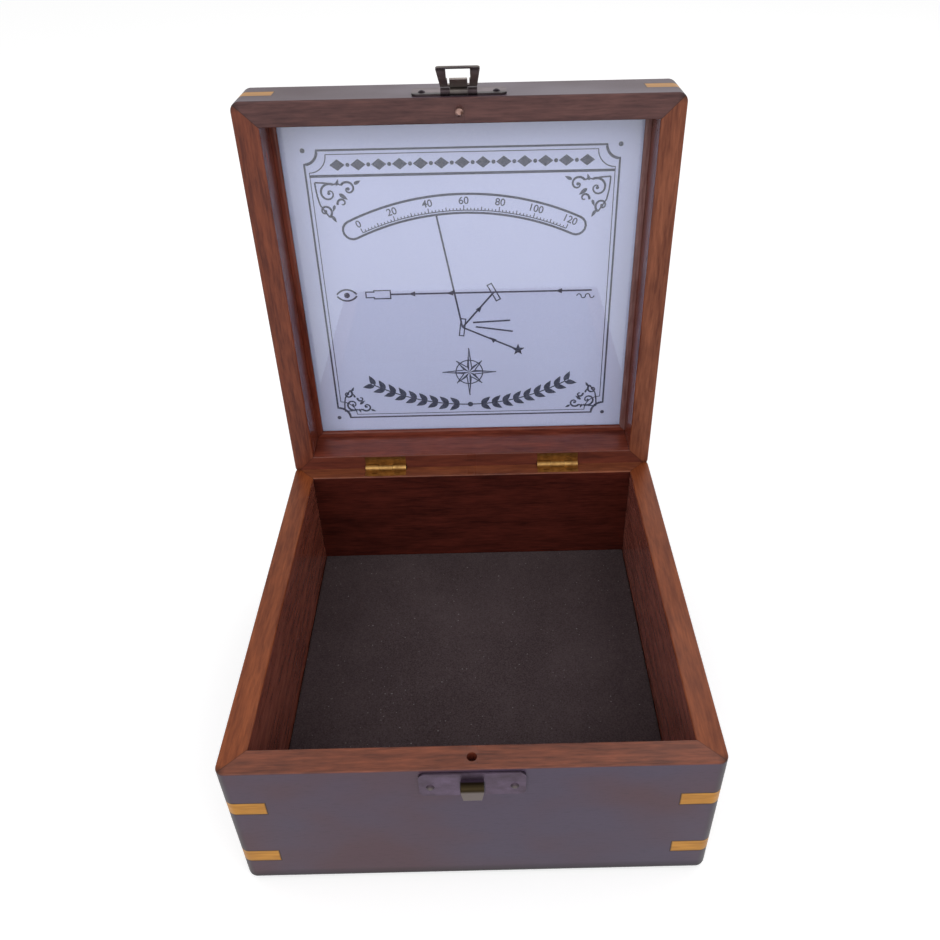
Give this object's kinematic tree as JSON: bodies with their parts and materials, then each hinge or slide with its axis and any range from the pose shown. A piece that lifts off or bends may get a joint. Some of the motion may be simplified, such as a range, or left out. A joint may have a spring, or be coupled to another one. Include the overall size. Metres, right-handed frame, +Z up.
{
  "type": "instrument case",
  "caption": "Small square hardwood instrument case with mitred walls, corner keys, a hinged lid over a glazed card, and a hasp and hook latch.",
  "frame": {"origin": "middle of the case's flat underside, on the surface that the case stands on", "axes": "+X runs to the right along the front, +Y to the hinged back, +Z up"},
  "size_m": [0.14, 0.1637, 0.2023],
  "materials": {
    "case_wood": "dark polished rosewood, purple brown outside and orange brown on the rims",
    "lid_wood": "dark polished rosewood",
    "board_wood": "polished rosewood board",
    "key_wood": "golden light wood under clear polish",
    "felt": "near black felt",
    "card": "white card with a grey line print",
    "pane_glass": "clear polished pane",
    "latch_brass": "dark aged brass, stamped",
    "hinge_brass": "plain brass, lightly tarnished"
  },
  "bodies": {
    "case": {"case_front": "case_wood", "case_back": "case_wood", "case_left": "case_wood", "case_right": "case_wood", "case_bottom": "board_wood", "case_corner_keys": "key_wood", "bed_board": "board_wood", "bed_felt": "felt", "strike_plate": "latch_brass", "strike_plate_nails": "latch_brass", "hinge_leaf_case_left": "hinge_brass", "hinge_leaf_case_right": "hinge_brass", "hinge_pin_left": "hinge_brass", "hinge_pin_right": "hinge_brass", "hinge_screws_case": "hinge_brass"},
    "lid": {"lid_front": "lid_wood", "lid_back": "lid_wood", "lid_left": "lid_wood", "lid_right": "lid_wood", "lid_top": "board_wood", "lid_corner_keys": "key_wood", "lid_card": "card", "lid_pane": "pane_glass", "pane_bead_front": "lid_wood", "pane_bead_back": "lid_wood", "pane_bead_left": "lid_wood", "pane_bead_right": "lid_wood", "lid_peg": "hinge_brass", "hinge_leaf_lid_left": "hinge_brass", "hinge_leaf_lid_right": "hinge_brass", "hinge_screws_lid": "hinge_brass", "latch_plate": "latch_brass", "latch_plate_nails": "latch_brass", "hasp_pin": "latch_brass"},
    "hasp": {"hasp": "latch_brass"}
  },
  "joints": [
    {"name": "lid_hinge", "type": "hinge", "parent": "case", "child": "lid", "pos_m": [0, 0.068, 0.0541], "axis": [1, 0, 0], "range_deg": [0, 90.5]},
    {"name": "hasp_hinge", "type": "hinge", "parent": "lid", "child": "hasp", "pos_m": [0, 0.07112, 0.19333], "axis": [1, 0, 0], "range_deg": [-100, 40]}
  ]
}
